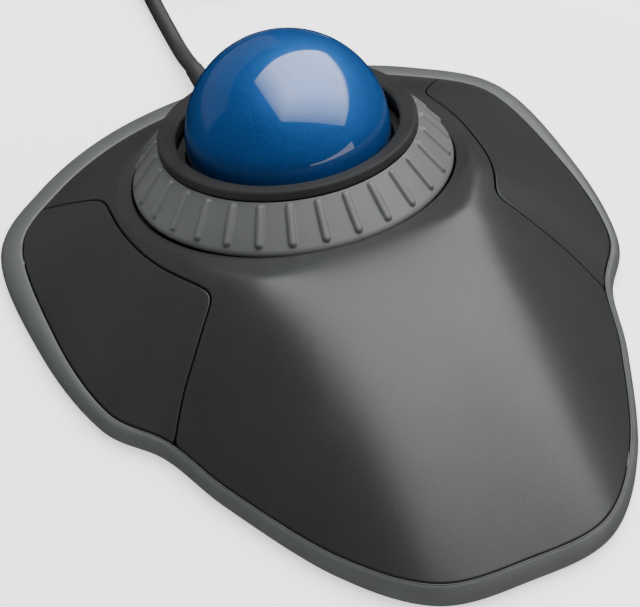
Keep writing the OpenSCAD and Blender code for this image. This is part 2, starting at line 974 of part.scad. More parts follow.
base_shell();
side_band();
top_cover();
left_button();
right_button();
left_button_arm();
right_button_arm();
left_hinge_pin();
right_hinge_pin();
scroll_ring();
ring_encoder();
ball();
ball_collar();
ball_cup();
support_bearings();
sensor_lens();
ball_sensor();
sensor_lamp();
sensor_board();
sensor_header();
main_board();
controller_chip();
crystal();
capacitor();
cable_connector();
encoder_board();
photo_interrupter();
left_switch();
right_switch();
left_plunger();
right_plunger();
board_screws();
case_screws();
cup_screws();
rubber_feet();
underside_label();
inner_wires();
strain_relief();
cord_lead();
cord_coil();
cord_tail();
cable_tie();
plug_body();
plug_shell();
plug_tongue();
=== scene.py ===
"""Looks of the trackball mouse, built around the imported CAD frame.

Lengths are in millimetres, and the lights' are in metres."""

import json
import math

import bpy
import numpy as np
from mathutils import Matrix, Vector
from mathutils.geometry import delaunay_2d_cdt


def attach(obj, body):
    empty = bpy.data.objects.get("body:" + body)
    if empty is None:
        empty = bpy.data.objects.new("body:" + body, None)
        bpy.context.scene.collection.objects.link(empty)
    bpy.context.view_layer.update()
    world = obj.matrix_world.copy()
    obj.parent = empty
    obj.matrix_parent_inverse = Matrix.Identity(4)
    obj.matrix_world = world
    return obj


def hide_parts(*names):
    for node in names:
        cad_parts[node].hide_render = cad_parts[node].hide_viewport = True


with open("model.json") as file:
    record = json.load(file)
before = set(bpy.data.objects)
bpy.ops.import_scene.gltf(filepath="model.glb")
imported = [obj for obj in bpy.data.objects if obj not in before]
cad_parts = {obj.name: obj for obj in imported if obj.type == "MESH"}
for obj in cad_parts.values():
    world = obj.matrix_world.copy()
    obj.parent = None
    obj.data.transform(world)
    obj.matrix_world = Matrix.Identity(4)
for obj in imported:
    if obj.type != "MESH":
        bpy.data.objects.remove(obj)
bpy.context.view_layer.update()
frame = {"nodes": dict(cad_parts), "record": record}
MM = 0.001

# ---------- driving sizes, the same as the CAD's except for the seam ----------

RIM_HALF = [(0, 71.25), (22.5, 68), (42, 58.5), (56, 44.5), (58.5, 17.5), (55.5, -5),
            (47.5, -17), (42, -32.5), (31, -55), (17.5, -69), (0, -71.25)]
# Inner seam of the right button: a corner's x and y, and how far from it the bend begins
BUTTON_SEAM = [(60, 60, 0), (46, 53.5, 5), (35, 40.4, 3), (36.5, 27.7, 6), (35.4, 16, 4.4), (33.4, 8, 3.4),
               (29.3, -0.9, 2.6), (35.9, -7.2, 3.4), (41.4, -12.2, 3.4), (45.7, -17.9, 3.4), (60, -29.3, 0)]
EDGE_Z = 4.7
BASE_Z = 0.8
BASE_TOP = 2.0
COVER_T = 1.8
BUTTON_T = 1.5
# Gap beside a button. It is narrower than the CAD's, as its edges are rounded here.
SEAM = 0.3
BALL_R = 20.0
BALL = np.array([0, 29.8, 25.5])
TILT = math.radians(14.3)
RING_R = 31.5
HOLE_R = RING_R + 0.35
# Height of the ring's lower edge along its axis, measured from the ball's middle
H_SEAT = -7.8
RIDGES = 30
# Middle of the circle that the ring's lower edge makes, then the ring's axis and its fore-and-aft direction
MID_Y = BALL[1] + H_SEAT * math.sin(TILT)
MID_Z = BALL[2] + H_SEAT * math.cos(TILT)
AXIS = np.array([0, math.sin(TILT), math.cos(TILT)])
ACROSS = np.array([0, math.cos(TILT), -math.sin(TILT)])
EXIT = (0, 70.9, 3.6)
CORD_D = 3.4
# Places behind the object, and turns about Z in degrees
COIL_MIDDLE = (31.5, 129)
TIE_TURN = -120
PLUG_PLACE = (44.2, 136, 11.55)
PLUG_TURN = -164


# ---------- camera ----------

def make_camera():
    """The picture's viewpoint: place in millimetres, then azimuth, elevation and roll in degrees."""
    place = Vector((-162.07, -328.37, 393.08)) * MM
    azimuth, elevation, roll = (math.radians(v) for v in (-25.21, 46.64, -0.51))
    back = Vector((math.sin(azimuth) * math.cos(elevation), -math.cos(azimuth) * math.cos(elevation),
                   math.sin(elevation)))
    right = Vector((math.cos(azimuth), math.sin(azimuth), 0))
    up = back.cross(right)
    rolled_right = right * math.cos(roll) + up * math.sin(roll)
    rolled_up = up * math.cos(roll) - right * math.sin(roll)
    data = bpy.data.cameras.new("camera")
    data.sensor_width = 36
    data.lens = 156.1
    data.clip_start = 0.01
    camera = bpy.data.objects.new("camera", data)
    turn = Matrix((rolled_right, rolled_up, back)).transposed().to_4x4()
    camera.matrix_world = Matrix.Translation(place) @ turn
    bpy.context.scene.collection.objects.link(camera)
    bpy.context.scene.camera = camera


# ---------- curves and lines ----------

def ramp(low, high, x):
    """Smooth step from 0 at low to 1 at high."""
    t = np.clip((x - low) / (high - low), 0, 1)
    return t * t * (3 - 2 * t)


def curve(a, b, c, d, t):
    """Catmull-Rom curve from b to c, where a and d are the points before and after."""
    return 0.5 * (2 * b + (c - a) * t + (2 * a - 5 * b + 4 * c - d) * t**2 + (3 * b - a - 3 * c + d) * t**3)


def open_curve(points, steps):
    """Smooth curve through some points, open at both ends, in steps from each point to the next."""
    p = np.array(points, float)
    p = np.vstack([p[:1], p, p[-1:]])
    t = np.arange(steps)[:, None] / steps
    return np.vstack([curve(a, b, c, d, t) for a, b, c, d in zip(p, p[1:], p[2:], p[3:])] + [p[-1:]])


def closed_curve(points, steps):
    """Smooth curve through some points and back to the first."""
    p = np.array(points, float)
    t = np.arange(steps)[:, None] / steps
    before, after, next_after = (np.roll(p, k, 0) for k in (1, -1, -2))
    return np.vstack([curve(a, b, c, d, t) for a, b, c, d in zip(before, p, after, next_after)])


def unit_rows(vectors):
    return vectors / np.linalg.norm(vectors, axis=1)[:, None]


def lengths_along(line):
    """Distance of each of a line's points from its start."""
    return np.concatenate([[0], np.cumsum(np.linalg.norm(np.diff(line, axis=0), axis=1))])


def loop_inward(loop):
    """Unit normals of a closed outline, to the left of its direction."""
    along = unit_rows(np.roll(loop, -1, 0) - np.roll(loop, 1, 0))
    return np.column_stack([-along[:, 1], along[:, 0]])


# ---------- cord, strap and plug ----------

def coil_points():
    """Two layers of turns, wound inwards on the desk and back out on top, leaving where they began."""
    outer, pitch, turns, per_turn = 28.8, 3.43, 11, 40
    low, high = 2.3, 5.75
    half, climb, softness = turns / 2, 0.25, 0.2
    t = np.linspace(0, turns, turns * per_turn + 1)
    from_middle = np.sqrt((t - half) ** 2 + softness**2)
    r = outer - pitch * (half - from_middle)
    z = low + (high - low) * ramp(half - climb, half + climb, t)
    angle = math.pi - 2 * math.pi * t
    return np.column_stack([COIL_MIDDLE[0] + r * np.cos(angle), COIL_MIDDLE[1] + r * np.sin(angle), z])


def cord_route():
    """The cord's centre line, from the housing over the coil to the plug."""
    lead = [EXIT, (0, 76, 3.6), (0.1, 79, 3.2), (0.3, 82.5, 2.3), (0.6, 87, 1.75), (0.9, 92, 1.75),
            (1.3, 98, 1.75), (1.8, 104, 1.8), (2.3, 110, 2), (2.6, 115.5, 2.2), (2.7, 121, 2.3),
            (2.7, 125, 2.3)]
    tail = [(3, 132, 5.75), (4.6, 139, 6.5), (8.6, 145.5, 7.8), (14.5, 150, 9), (22, 151.6, 9.4),
            (30, 150.4, 9.6), (36.6, 147, 10), (41, 142.2, 10.6), (43.4, 138, 11.4), (44.6, 134.4, 11.55)]
    return np.vstack([open_curve(lead, steps=2)[:-1], coil_points(), open_curve(tail, steps=2)])


def placed(points, at, turn):
    """Points turned about Z by an angle in degrees and then moved."""
    c, s = math.cos(math.radians(turn)), math.sin(math.radians(turn))
    return np.asarray(points) @ np.array([[c, s, 0], [-s, c, 0], [0, 0, 1]]) + np.array(at)


def make_tie(materials):
    """Strap round the coil: a band with rounded corners and eased edges."""
    # Inner and outer are distances from the coil's middle, and high is a height
    inner, outer, high, half_width, thick = 7.2, 31.5, 8.05, 3.5, 0.55
    round_r, eased, steps = 3, 0.15, 8
    left, right, top = inner + round_r, outer - round_r, high - round_r
    middles = [(right, top), (left, top), (left, round_r), (right, round_r)]
    angles = [np.radians(90 * q + np.linspace(0, 90, steps + 1)) for q in range(4)]
    rings = []
    for inset, y in ((thick, -half_width), (eased, -half_width), (0, -half_width + eased),
                     (0, half_width - eased), (eased, half_width), (thick, half_width)):
        r = round_r - inset
        rings.append(np.vstack([np.column_stack([x + r * np.cos(a), np.full(len(a), y), z + r * np.sin(a)])
                                for (x, z), a in zip(middles, angles)]))
    faces = skin_faces(len(rings), len(rings[0]), closed=True)
    tie = add_mesh("tie_strap", placed(np.vstack(rings), (*COIL_MIDDLE, 0), TIE_TURN), faces)
    return fit_out(tie, "housing", "black_plastic", materials, "cable_tie")


def make_plug_body(materials):
    """Plug overmould: a grooved, tapered relief and a soft-edged grip with a shallow waist."""
    # Each ring is its distance from the cord's end, its two half sizes and how square it is, 2 for round
    relief = [(0, 1.75, 1.75, 2), (0.2, 2.1, 2.1, 2)]
    grooves, groove_depth = 4, 0.35
    for k in range(grooves):
        y, r = 1.4 + 1.6 * k, 2.2 + 0.18 * k
        sunk = r - groove_depth
        relief += [(y, r, r, 2), (y + 0.15, sunk, sunk, 2), (y + 0.65, sunk, sunk, 2), (y + 0.8, r, r, 2)]
    grip = [(8, 3, 3, 2), (8.02, 5.9, 3.0, 4), (8.15, 6.9, 3.4, 6), (8.5, 7.45, 3.75, 7), (9.1, 7.7, 3.9, 7),
            (11.5, 7.7, 3.9, 7), (13.5, 7.4, 3.75, 7), (20, 7.4, 3.75, 7), (22, 7.7, 3.9, 7),
            (25, 7.7, 3.9, 7), (25.6, 7.5, 3.75, 7), (25.9, 7.1, 3.45, 7), (26, 6.7, 3.1, 7)]
    sides = 96
    angle = np.linspace(0, 2 * math.pi, sides, endpoint=False)

    def squared(wave, power):
        return np.sign(wave) * np.abs(wave) ** (2 / power)

    rings = [np.column_stack([half_w * squared(np.cos(angle), power), np.full(sides, y),
                              half_h * squared(np.sin(angle), power)])
             for y, half_w, half_h, power in relief + grip]
    rings = [placed(ring, PLUG_PLACE, PLUG_TURN) for ring in rings]
    return fit_out(loft("plug_grip", rings[::-1]), "housing", "cord_rubber", materials, "plug_body")


def make_cord(materials):
    """The whole cord as one tube, with the strap and the plug that go with it."""
    data = bpy.data.curves.new("cord", "CURVE")
    data.dimensions = "3D"
    data.bevel_depth = CORD_D / 2 * MM
    data.bevel_resolution = 6
    data.use_fill_caps = True
    route = cord_route() * MM
    spline = data.splines.new("POLY")
    spline.points.add(len(route) - 1)
    spline.points.foreach_set("co", np.column_stack([route, np.ones(len(route))]).ravel())
    spline.use_smooth = True
    data.materials.append(materials["cord_rubber"])
    cord = bpy.data.objects.new("cord", data)
    bpy.context.scene.collection.objects.link(cord)
    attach(cord, "housing")
    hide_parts("cord_lead", "cord_coil", "cord_tail")
    on_it = [make_tie(materials), make_plug_body(materials), frame["nodes"]["plug_shell"],
             frame["nodes"]["plug_tongue"]]


# ---------- materials ----------

class Nodes:
    """A material's node tree, with short calls for the few kinds of node used here."""

    # Most of a noise's values lie between these two
    NOISE_LOW, NOISE_HIGH = 0.3, 0.7

    def __init__(self, name):
        self.material = bpy.data.materials.new(name)
        self.material.use_nodes = True
        self.tree = self.material.node_tree
        self.shader = self.tree.nodes["Principled BSDF"]
        self.place = self.add("ShaderNodeTexCoord").outputs["Object"]

    def add(self, kind, **settings):
        node = self.tree.nodes.new(kind)
        for key, value in settings.items():
            setattr(node, key, value)
        return node

    def link(self, source, target):
        self.tree.links.new(source, target)

    def noise(self, size, detail, rough=0.55, stretch=(1, 1, 1)):
        """Noise whose features are about size millimetres across."""
        node = self.add("ShaderNodeTexNoise")
        node.inputs["Scale"].default_value = 1 / (size * MM)
        node.inputs["Detail"].default_value = detail
        node.inputs["Roughness"].default_value = rough
        if stretch == (1, 1, 1):
            self.link(self.place, node.inputs["Vector"])
        else:
            mapping = self.add("ShaderNodeMapping")
            mapping.inputs["Scale"].default_value = stretch
            self.link(self.place, mapping.inputs["Vector"])
            self.link(mapping.outputs[0], node.inputs["Vector"])
        return node.outputs["Fac"]

    def blend(self, fac, low, high, start=NOISE_LOW, end=NOISE_HIGH):
        """Colour from low to high as fac goes from start to end."""
        node = self.add("ShaderNodeValToRGB")
        node.color_ramp.elements[0].position = start
        node.color_ramp.elements[1].position = end
        node.color_ramp.elements[0].color = (*low, 1)
        node.color_ramp.elements[1].color = (*high, 1)
        self.link(fac, node.inputs["Fac"])
        return node.outputs["Color"]

    def multiply(self, tone, shade):
        node = self.add("ShaderNodeMixRGB", blend_type="MULTIPLY")
        node.inputs["Fac"].default_value = 1
        self.link(tone, node.inputs["Color1"])
        self.link(shade, node.inputs["Color2"])
        return node.outputs["Color"]

    def spread(self, fac, low, high):
        """Number from low to high over a noise's usual values."""
        node = self.add("ShaderNodeMapRange")
        node.inputs["From Min"].default_value = self.NOISE_LOW
        node.inputs["From Max"].default_value = self.NOISE_HIGH
        node.inputs["To Min"].default_value = low
        node.inputs["To Max"].default_value = high
        self.link(fac, node.inputs["Value"])
        return node.outputs["Result"]

    def bump(self, height, depth):
        """Relief of the given depth in millimetres."""
        node = self.add("ShaderNodeBump")
        node.inputs["Distance"].default_value = depth * MM
        self.link(height, node.inputs["Height"])
        return node.outputs["Normal"]

    def put(self, **sockets):
        """Sets or links the shader's sockets; an underscore in a name stands for a space."""
        for key, value in sockets.items():
            socket = self.shader.inputs[key.replace("_", " ")]
            if isinstance(value, bpy.types.NodeSocket):
                self.link(value, socket)
            else:
                socket.default_value = value
        return self.material


def grey(value, cool=0.0):
    """Grey that leans from red towards green and a little towards blue."""
    return (value * (1 - cool), value * (1 + cool), value * (1 + cool / 2))


def moulded(name, colour, rough, grain=0.35, depth=0.012, vary=0.12, **sockets):
    """Moulded plastic: a fine spark-eroded grain, faint mottling and slightly uneven gloss."""
    n = Nodes(name)
    mottle = n.noise(9, 3)
    fine = n.noise(grain, 2)
    low = tuple(c * (1 - vary) for c in colour)
    high = tuple(c * (1 + vary) for c in colour)
    return n.put(Base_Color=n.blend(mottle, low, high),
                 Roughness=n.spread(fine, rough - 0.05, rough + 0.05),
                 Normal=n.bump(fine, depth), **sockets)


def satin_cover():
    """Charcoal paint with a fine metallic flake, as on the palm rest and the buttons."""
    n = Nodes("satin_charcoal")
    flake = n.noise(0.28, 2, 0.7)
    cloud = n.noise(22, 2)
    tone = n.blend(flake, (0.0505, 0.0535, 0.0515), (0.0635, 0.067, 0.0645), 0.35, 0.7)
    return n.put(Base_Color=n.multiply(tone, n.blend(cloud, grey(0.9), grey(1.0))),
                 Roughness=n.spread(flake, 0.28, 0.38), Metallic=0.6, Specular_IOR_Level=0.3,
                 Specular_Tint=(0.5, 0.5, 0.5, 1), Normal=n.bump(flake, 0.0035))


def pearl_blue():
    """The ball: blue pearl pigment under a clear gloss."""
    n = Nodes("pearl_blue")
    flake = n.noise(0.45, 3, 0.75)
    cloud = n.noise(6, 2)
    tone = n.blend(flake, (0.008, 0.056, 0.22), (0.010, 0.092, 0.34), 0.32, 0.7)
    return n.put(Base_Color=n.multiply(tone, n.blend(cloud, grey(0.85), grey(1.0))),
                 Roughness=n.spread(flake, 0.42, 0.54), Metallic=0.5, Specular_Tint=(0.4, 0.7, 1, 1),
                 Coat_Weight=1.0, Coat_Roughness=0.03, Coat_IOR=1.8)


def metal(name, colour, rough):
    """Bare metal with fine drawn streaks."""
    n = Nodes(name)
    streak = n.noise(1.2, 3, 0.6, (1, 1, 6))
    return n.put(Base_Color=n.blend(streak, tuple(c * 0.85 for c in colour), colour),
                 Roughness=n.spread(streak, rough - 0.02, rough + 0.03), Metallic=1.0)


def cord_rubber():
    """Soft black sleeve, a little dusty."""
    n = Nodes("cord_rubber")
    skin = n.noise(0.5, 3)
    dust = n.noise(7, 3)
    return n.put(Base_Color=n.blend(dust, grey(0.014), grey(0.024)), Roughness=n.spread(skin, 0.42, 0.6),
                 Normal=n.bump(skin, 0.02))


def circuit():
    """Solder mask over faint copper tracks."""
    n = Nodes("circuit_green")
    track = n.noise(2.2, 1, 0.5, (1, 0.25, 1))
    return n.put(Base_Color=n.blend(track, (0.01, 0.10, 0.045), (0.02, 0.19, 0.08), 0.48, 0.52),
                 Roughness=n.spread(track, 0.3, 0.4), Normal=n.bump(track, 0.03))


def label_film():
    n = Nodes("label_film")
    fibre = n.noise(0.8, 4)
    return n.put(Base_Color=n.blend(fibre, grey(0.38), grey(0.46)), Roughness=n.spread(fibre, 0.35, 0.5))


def clear_lens():
    n = Nodes("clear_lens")
    haze = n.noise(1.5, 2)
    return n.put(Base_Color=n.blend(haze, (0.86, 0.9, 0.93), (0.95, 0.97, 0.98)),
                 Roughness=n.spread(haze, 0.02, 0.08), Transmission_Weight=0.9, IOR=1.49)


def make_materials():
    """A material for each slot that the record names."""
    return {
        "cover_plastic": satin_cover(),
        "band_plastic": moulded("band_grey", grey(0.062, 0.03), 0.42, 0.3, 0.01, 0.06),
        "base_plastic": moulded("base_black", grey(0.055), 0.55, 0.5, 0.03),
        "lever_plastic": moulded("lever_grey", grey(0.5), 0.5),
        "ring_plastic": moulded("ring_grey", grey(0.086, 0.02), 0.48, 0.25, 0.01, 0.06),
        "gloss_black": moulded("gloss_black", grey(0.024), 0.42, 1.5, 0.002, Specular_IOR_Level=0.05),
        "black_plastic": moulded("black_plastic", grey(0.02), 0.45, 0.4, 0.015),
        "ball_blue": pearl_blue(),
        "bearing_white": moulded("bearing_white", grey(0.75), 0.2, 1.0, 0.002),
        "clear_lens": clear_lens(),
        "lamp_red": moulded("lamp_red", (0.6, 0.04, 0.02), 0.2, 1.0, 0.002),
        "circuit_green": circuit(),
        "contact_brass": metal("contact_brass", (0.8, 0.6, 0.25), 0.3),
        "capacitor_can": moulded("capacitor_sleeve", (0.03, 0.04, 0.12), 0.35),
        "ivory_plastic": moulded("ivory_nylon", (0.68, 0.63, 0.5), 0.45),
        "plunger_red": moulded("plunger_red", (0.42, 0.03, 0.02), 0.4),
        "steel": metal("steel", grey(0.62), 0.28),
        "foot_rubber": moulded("foot_rubber", grey(0.03), 0.75, 0.3, 0.03, 0.2),
        "label_film": label_film(),
        "wire_sleeve": moulded("wire_sleeve", grey(0.2), 0.5),
        "cord_rubber": cord_rubber(),
    }


# ---------- the housing's outline and top surface ----------

def mirrored(points):
    """The right half's points, then the left half's back towards the start."""
    return points + [(-x, y) for x, y in points[-2:0:-1]]


def band_width(y):
    """Width of the side band, wider towards the rear."""
    return 1.7 + 2.8 * ramp(-25, 50, y)


def rim_height(y):
    """Height of the cover's rim, a little higher in front."""
    return EDGE_Z - 0.8 * (y / 62) ** 3


# The rim runs clockwise, so that its inside is on the right
RIM = closed_curve(mirrored(RIM_HALF), steps=36)
RIM_INWARD = -loop_inward(RIM)


def inset_rim(extra):
    """The rim moved inwards by the band's width and an extra distance. It runs clockwise from the rear."""
    return RIM + RIM_INWARD * (band_width(RIM[:, 1]) + extra)[:, None]


def rim_by_direction():
    """Directions from the ring's middle in rising order, and how far off the cover's rim is in each."""
    x, y = inset_rim(0).T
    angle = np.degrees(np.arctan2(y - MID_Y, x))
    order = np.argsort(angle)
    return angle[order], np.hypot(x, y - MID_Y)[order]


RIM_ANGLE, RIM_FAR = rim_by_direction()


def seat_height(y):
    """Height of the tilted plane that the ring's lower edge lies in."""
    return MID_Z + (MID_Y - y) * math.tan(TILT)


def from_ring_axis(x, y, z):
    """Distance from the ring's axis, and the part of it that is fore and aft."""
    fore = (y - BALL[1]) * math.cos(TILT) - (z - BALL[2]) * math.sin(TILT)
    return np.hypot(x, fore), fore


def dish_width(sideways):
    """Width of the dish round the ring: widest at the two sides."""
    return 0.65 + 2.7 * sideways


def surface(x, y):
    """Height of the housing's top surface: the CAD's, with a shallow dish around the ring's opening."""
    tiny = 1e-6
    dist = np.maximum(np.hypot(x, y - MID_Y), tiny)
    far = np.interp(np.degrees(np.arctan2(y - MID_Y, x)), RIM_ANGLE, RIM_FAR, period=360)
    front = -(y - MID_Y) / dist
    s = (dist - RING_R) / (far - RING_R)
    start = 0.163 * ramp(0.12, 0.76, front) * (1 - ramp(0.82, 1.03, front))
    power = 1.226 + 0.348 * ramp(0.82, 0.975, front)
    soft = 0.03
    q = (s - start) / (1 - start)
    # Share of the way down from the plane of the ring's edge to the rim: flat round the ring, then down
    fall = ((q + np.sqrt(q * q + soft**2)) / (1 + math.sqrt(1 + soft**2))) ** power
    y_edge = MID_Y - front * RING_R
    y_rim = MID_Y - front * far
    kept_tilt = 1 - 0.133 * ramp(0.786, 1.074, front)
    top = seat_height(y_edge - front * (dist - RING_R) * kept_tilt)
    top_at_rim = seat_height(y_edge - front * (far - RING_R) * kept_tilt)
    z = top - (top_at_rim - rim_height(y_rim)) * fall
    r, fore = from_ring_axis(x, y, z)
    sideways = 1 - (fore / np.maximum(r, tiny)) ** 2
    drop = 0.3 + 0.8 * sideways
    return z - drop * np.clip(1 - (r - HOLE_R) / dish_width(sideways), 0, 1) ** 1.1


def surface_normals(x, y):
    """Unit normals of the top surface, from its slopes over a short step."""
    step = 0.05
    across = (surface(x + step, y) - surface(x - step, y)) / (2 * step)
    along = (surface(x, y + step) - surface(x, y - step)) / (2 * step)
    return unit_rows(np.column_stack([-across, -along, np.ones_like(across)]))


# ---------- outlines of the cover and the buttons ----------

def bend(a, b, c, reach, steps):
    """Points of the bend that replaces the corner b between a and c."""
    start = b + (a - b) / np.linalg.norm(a - b) * reach
    end = b + (c - b) / np.linalg.norm(c - b) * reach
    t = np.linspace(0, 1, steps + 1)[:, None]
    return (1 - t) ** 2 * start + 2 * t * (1 - t) * b + t**2 * end


def even_steps(line, step):
    """An open line's points again, at equal steps."""
    d = lengths_along(line)
    at = np.linspace(0, d[-1], max(2, round(d[-1] / step) + 1))
    return np.column_stack([np.interp(at, d, line[:, k]) for k in range(line.shape[1])])


def seam_line(offset):
    """The right button's inner seam, rear to front, moved towards the button by offset."""
    bend_steps, step = 8, 0.25
    corners = np.array([p[:2] for p in BUTTON_SEAM], float)
    reaches = [p[2] for p in BUTTON_SEAM[1:-1]]
    bends = [bend(a, b, c, reach, bend_steps)
             for a, b, c, reach in zip(corners, corners[1:], corners[2:], reaches)]
    line = even_steps(np.vstack([corners[:1], *bends, corners[-1:]]), step)
    along = unit_rows(np.gradient(line, axis=0))
    return line + offset * np.column_stack([-along[:, 1], along[:, 0]])


def inside(points, loop):
    """Which points lie within a closed outline, by the even-odd rule."""
    x, y = points[:, 0][:, None], points[:, 1][:, None]
    a, b = loop, np.roll(loop, -1, 0)
    spans = (a[:, 1] > y) != (b[:, 1] > y)
    with np.errstate(divide="ignore", invalid="ignore"):
        at = a[:, 0] + (y - a[:, 1]) / (b[:, 1] - a[:, 1]) * (b[:, 0] - a[:, 0])
    return (spans & (x < at)).sum(1) % 2 == 1


def cut_by_rim(line, rim):
    """The part of a line that lies within the rim, and the rim's points nearest to its two ends."""
    kept = line[inside(line, rim)]
    ends = [int(np.argmin(np.linalg.norm(rim - p, axis=1))) for p in (kept[0], kept[-1])]
    return kept, ends


def joined(parts):
    """Closed outline from open parts that meet at corners, with those corners eased."""
    step, reach, bend_steps = 0.45, 0.9, 6
    clipped = []
    for part in parts:
        d = lengths_along(part)
        clipped.append(part[(d > reach) & (d < d[-1] - reach)])
    s = np.linspace(0, 1, bend_steps + 1)[1:-1, None]
    out = []
    for i, part in enumerate(clipped):
        following = clipped[(i + 1) % len(clipped)]
        a, b = part[-1], following[0]
        u, v = part[-1] - part[-3], following[0] - following[2]
        t = np.linalg.solve(np.column_stack([u, -v]), b - a)[0]
        corner = a + u * t
        out += [even_steps(part, step), (1 - s) ** 2 * a + 2 * s * (1 - s) * corner + s**2 * b]
    return np.vstack(out)


def mirror_line(line):
    """The line on the other side of the middle plane, run backwards so that it still turns the same way."""
    return line[::-1] * np.array([-1, 1])


def cover_outline():
    """The cover's outer edge, anticlockwise, with a bite on each side for the buttons."""
    rim = inset_rim(0.12)
    half = len(rim) // 2
    seam, (rear, front) = cut_by_rim(seam_line(0), rim)
    right_front = rim[front + 1:half + 1]
    right_rear = rim[0:rear]
    front_edge = np.vstack([right_front, mirror_line(right_front)[1:]])
    rear_edge = np.vstack([mirror_line(right_rear), right_rear[1:]])
    clockwise = [rear_edge, seam, front_edge, mirror_line(seam)]
    return joined(clockwise)[::-1]


def button_outline():
    """The right button's edge, anticlockwise."""
    rim = inset_rim(0.2)
    seam, (rear, front) = cut_by_rim(seam_line(SEAM), rim)
    return joined([seam[::-1], rim[rear:front + 1]])[::-1]


def opening_outline(beyond_dish=None):
    """The edge of the ring's opening where it cuts the surface, or of the dish round it, clockwise."""
    count, rounds = 300, 6
    angle = -np.linspace(0, 2 * math.pi, count, endpoint=False)
    radius = HOLE_R if beyond_dish is None else HOLE_R + dish_width(np.cos(angle) ** 2) + beyond_dish
    x, fore = radius * np.cos(angle), radius * np.sin(angle)
    h = np.full(count, H_SEAT)
    for _ in range(rounds):
        y = BALL[1] + fore * math.cos(TILT) + h * math.sin(TILT)
        z = surface(x, y)
        h = (y - BALL[1]) * math.sin(TILT) + (z - BALL[2]) * math.cos(TILT)
    return np.column_stack([x, y])


# ---------- mesh building ----------

def add_mesh(name, points, faces, normals=None):
    """Smooth-shaded mesh object from points in millimetres, with its own normals where they are given."""
    mesh = bpy.data.meshes.new(name)
    mesh.from_pydata((np.asarray(points, float) * MM).tolist(), [], [tuple(int(i) for i in f) for f in faces])
    mesh.polygons.foreach_set("use_smooth", np.ones(len(mesh.polygons), bool))
    mesh.update()
    if normals is not None:
        mesh.normals_split_custom_set_from_vertices(np.asarray(normals, float).tolist())
    piece = bpy.data.objects.new(name, mesh)
    bpy.context.scene.collection.objects.link(piece)
    return piece


def fit_out(piece, body, slot, materials, node):
    """Gives a new piece its material and its body, and hides the CAD node that it stands for."""
    piece.data.materials.append(materials[slot])
    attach(piece, body)
    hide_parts(node)
    return piece


def skin_faces(count, n, closed):
    """Quads between neighbouring rings of n points, and from the last ring to the first if it is closed."""
    return [(j * n + i, j * n + (i + 1) % n, (j + 1) % count * n + (i + 1) % n, (j + 1) % count * n + i)
            for j in range(count if closed else count - 1) for i in range(n)]


def loft(name, rings):
    """Closed skin over rings of points that all run the same way, with flat ends."""
    count, n = len(rings), len(rings[0])
    faces = skin_faces(count, n, closed=False)
    faces += [tuple(range(n))[::-1], tuple((count - 1) * n + i for i in range(n))]
    return add_mesh(name, np.vstack(rings), faces)


def hex_grid(low, high, step):
    """Points of a grid of even triangles that covers a rectangle."""
    points = []
    for k, y in enumerate(np.arange(low[1], high[1], step * math.sqrt(3) / 2)):
        x = np.arange(low[0] + (k % 2) * step / 2, high[0], step)
        points.append(np.column_stack([x, np.full(len(x), y)]))
    return np.vstack(points)


def inside_all(points, loops):
    """Which points lie within the first outline and outside the others."""
    kept = inside(points, loops[0])
    for loop in loops[1:]:
        kept &= ~inside(points, loop)
    return kept


def fill(loops, creases):
    """Even triangles between some outlines.

    Gives the points in plan, the triangles, and each outline's own points as numbers in that list."""
    step, batch = 1.3, 500
    clear = step * 0.55
    grid = hex_grid(loops[0].min(0), loops[0].max(0), step)
    grid = grid[inside_all(grid, loops)]
    creases = [line[inside(line, loops[0])] for line in creases]
    near = np.vstack(loops + creases)
    keep = np.ones(len(grid), bool)
    for start in range(0, len(grid), batch):
        part = grid[start:start + batch]
        keep[start:start + batch] = np.linalg.norm(part[:, None] - near[None], axis=2).min(1) > clear
    edges, first = [], 0
    for k, line in enumerate(loops + creases):
        n = len(line)
        gaps = np.linalg.norm(np.roll(line, -1, 0) - line, axis=1)
        edges += [(first + i, first + (i + 1) % n) for i in range(n) if k < len(loops) or gaps[i] < step]
        first += n
    corners = [Vector(p) for p in np.vstack([near, grid[keep]])]
    found, _, triangles, came_from, _, _ = delaunay_2d_cdt(corners, edges, [], 0, 1e-6)
    found = np.array([tuple(p) for p in found])
    triangles = np.array(triangles)
    now_at = {old: new for new, olds in enumerate(came_from) for old in olds}
    numbers, first = [], 0
    for loop in loops:
        numbers.append(np.array([now_at[first + i] for i in range(len(loop))]))
        first += len(loop)
    return found, triangles[inside_all(found[triangles].mean(1), loops)], numbers


